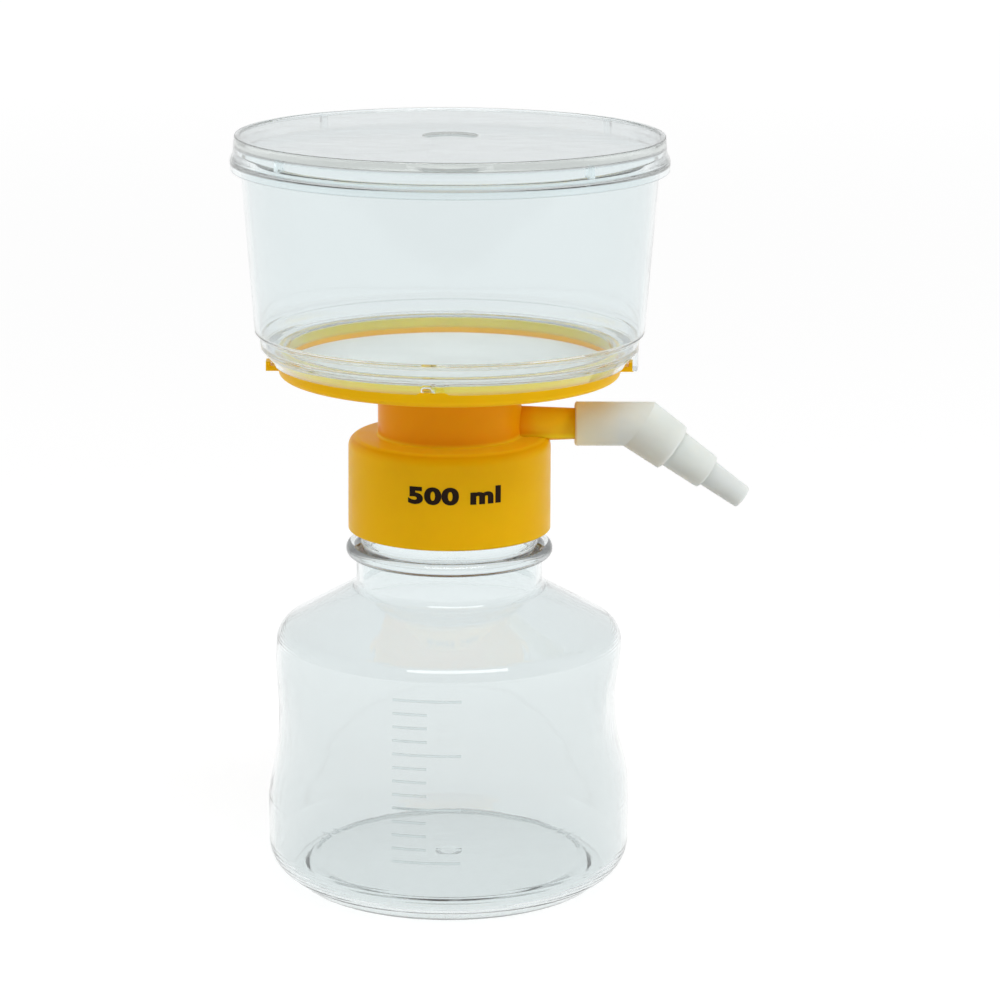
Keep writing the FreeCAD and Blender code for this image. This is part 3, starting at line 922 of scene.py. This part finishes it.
floor_size = 14.0
floor_drop = 0.0001
floor_colour = 0.82           # for the light that it throws back on the object
seen_colour = 0.35            # of the lit part that the camera sees, which keeps the shadow
near_glow = 0.72              # what is added to it round the object
far_glow = 0.87               # and far behind it, where less light falls
near_distance = 0.3           # from the object, in metres
far_distance = 2.5
horizon_light = 0.8           # of the room, where 1 is white
overhead_light = 0.52
front_share = 0.2             # of that light on the camera's side
through_light = 0.6           # the least that the room shows through clear plastic
reflected_light = 0.4         # and by reflection in it


def any_ray(tree, names):
    """1 for a ray of one of these kinds, else 0."""
    path = add(tree, "ShaderNodeLightPath")
    found = path.outputs[names[0]]
    for name in names[1:]:
        found = combined(tree, "MAXIMUM", found, path.outputs[name])
    return found


def make_floor():
    """A wide white floor that keeps the object's shadow."""
    half = floor_size / 2 / MM
    drop = floor_drop / MM
    corners = [Vector((x * half, y * half, -drop)) for x, y in ((-1, -1), (1, -1), (1, 1), (-1, 1))]
    floor = mesh_object("floor", corners, [[0, 1, 2, 3]])
    made = new_material("pale_floor")
    tree = made.node_tree
    own = add(tree, "ShaderNodeBsdfDiffuse", Color=(floor_colour, floor_colour, floor_colour, 1))
    lit = add(tree, "ShaderNodeBsdfDiffuse", Color=(seen_colour, seen_colour, seen_colour, 1))
    distance = add(tree, "ShaderNodeVectorMath", {"operation": "LENGTH"})
    tree.links.new(object_place(tree), distance.inputs[0])
    glow = add(tree, "ShaderNodeEmission")
    fall = spread(tree, distance.outputs["Value"], near_glow, far_glow, near_distance, far_distance)
    tree.links.new(fall, glow.inputs["Strength"])
    both = add(tree, "ShaderNodeAddShader")
    tree.links.new(lit.outputs["BSDF"], both.inputs[0])
    tree.links.new(glow.outputs["Emission"], both.inputs[1])
    mix = add(tree, "ShaderNodeMixShader")
    seen = any_ray(tree, ("Is Camera Ray", "Is Glossy Ray", "Is Transmission Ray"))
    tree.links.new(seen, mix.inputs["Fac"])
    tree.links.new(own.outputs["BSDF"], mix.inputs[1])
    tree.links.new(both.outputs["Shader"], mix.inputs[2])
    output = add(tree, "ShaderNodeOutputMaterial")
    tree.links.new(mix.outputs["Shader"], output.inputs["Surface"])
    dress(floor, made)


def make_world():
    """A soft room: bright at the horizon, duller overhead and dark on the camera's side.

    The camera sees plain white where it looks past the floor.
    """
    world = bpy.data.worlds.new("studio")
    bpy.context.scene.world = world
    world.use_nodes = True
    tree = world.node_tree
    tree.nodes.clear()
    coords = add(tree, "ShaderNodeTexCoord")
    parts = add(tree, "ShaderNodeSeparateXYZ")
    tree.links.new(coords.outputs["Generated"], parts.inputs["Vector"])
    overhead = spread(tree, parts.outputs["Z"], horizon_light, overhead_light, 0.1, 0.8)
    towards = spread(tree, parts.outputs["Y"], front_share, 1, -0.75, -0.05)
    through = spread(tree, any_ray(tree, ("Is Transmission Ray",)), 0, through_light, 0, 1)
    inside = spread(tree, any_ray(tree, ("Is Glossy Ray",)), 0, reflected_light, 0, 1)
    direct = any_ray(tree, ("Is Camera Ray",))
    strength = combined(tree, "MULTIPLY", overhead, towards)
    for least in (through, inside, direct):
        strength = combined(tree, "MAXIMUM", strength, least)
    back = add(tree, "ShaderNodeBackground", Color=(1, 1, 1, 1))
    tree.links.new(strength, back.inputs["Strength"])
    output = add(tree, "ShaderNodeOutputWorld")
    tree.links.new(back.outputs["Background"], output.inputs["Surface"])


def aimed(made, place, target):
    """Puts a lamp or camera at a place, looking at a target."""
    made.location = place
    made.rotation_euler = (Vector(target) - Vector(place)).to_track_quat("-Z", "Y").to_euler()


def softbox(name, place, target, width, height, power):
    """A rectangular soft lamp."""
    lamp = bpy.data.lights.new(name, "AREA")
    lamp.shape = "RECTANGLE"
    lamp.size = width
    lamp.size_y = height
    lamp.energy = power
    made = bpy.data.objects.new(name, lamp)
    bpy.context.scene.collection.objects.link(made)
    aimed(made, place, target)
    return made


def make_lights():
    """One soft lamp above and one at each side, none of them seen through the clear plastic."""
    middle = (0, 0, 0.11)
    over = softbox("top_softbox", (0.1, -0.55, 1.15), middle, width=1.1, height=0.45, power=7.0)
    over.visible_transmission = False
    right = softbox("right_softbox", (1.1, -0.55, 0.55), middle, width=0.3, height=0.8, power=4.8)
    left = softbox("left_softbox", (-1.1, -0.45, 0.6), middle, width=0.3, height=0.8, power=3.4)
    for side in (right, left):
        side.visible_glossy = False
        side.visible_transmission = False


camera_distance = 0.866
camera_height = 0.3137
camera_pitch = 13.67          # degrees below level
camera_yaw = 0.892            # degrees to the right of the axis
camera_roll = 0.35            # degrees
camera_lens = 120.2           # for a sensor that is 36 wide, both in millimetres
camera_sensor = 36
camera_reach = 40             # metres


def make_camera():
    """A long lens a little above the lid, looking down at the unit's middle."""
    data = bpy.data.cameras.new("camera")
    data.lens = camera_lens
    data.sensor_width = camera_sensor
    data.clip_end = camera_reach
    camera = bpy.data.objects.new("camera", data)
    bpy.context.scene.collection.objects.link(camera)
    camera.location = (0, -camera_distance, camera_height)
    turns = ((-camera_yaw, "Z"), (90 - camera_pitch, "X"), (camera_roll, "Z"))
    aim = Matrix.Identity(3)
    for degrees, axis in turns:
        aim = aim @ Matrix.Rotation(math.radians(degrees), 3, axis)
    camera.rotation_euler = aim.to_euler()
    bpy.context.scene.camera = camera


# ---------------------------------------------------------------- put together

scene = bpy.context.scene
scene.view_settings.view_transform = "Standard"
scene.cycles.max_bounces = 40
scene.cycles.transmission_bounces = 32
scene.cycles.glossy_bounces = 32
scene.cycles.transparent_max_bounces = 24
make_camera()
make_world()
make_lights()
make_floor()

bottle_clear = clear_bottle()
funnel_clear = clear_funnel()
lid_clear = clear_lid()

bottle = make_bottle()
thread = make_thread()
for piece in [bottle, thread] + make_graduations():
    dress(piece, bottle_clear)
    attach(piece, "bottle")
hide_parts("bottle")

funnel = make_funnel()
for piece in [funnel] + make_funnel_details():
    dress(piece, funnel_clear)
    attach(piece, "filter_head")
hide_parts("funnel")

lid = make_lid()
for piece in [lid] + make_spacers():
    dress(piece, lid_clear)
    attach(piece, "lid")
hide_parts("lid")

dress(nodes["filter_base"], yellow_plastic())
dress(nodes["hose_adapter"], white_plastic())
dress(nodes["membrane"], membrane_sheet())
dress(nodes["neck_seal"], soft_silicone())

marking = make_marking()
dress(marking, print_ink())
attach(marking, "filter_head")

bpy.context.view_layer.update()
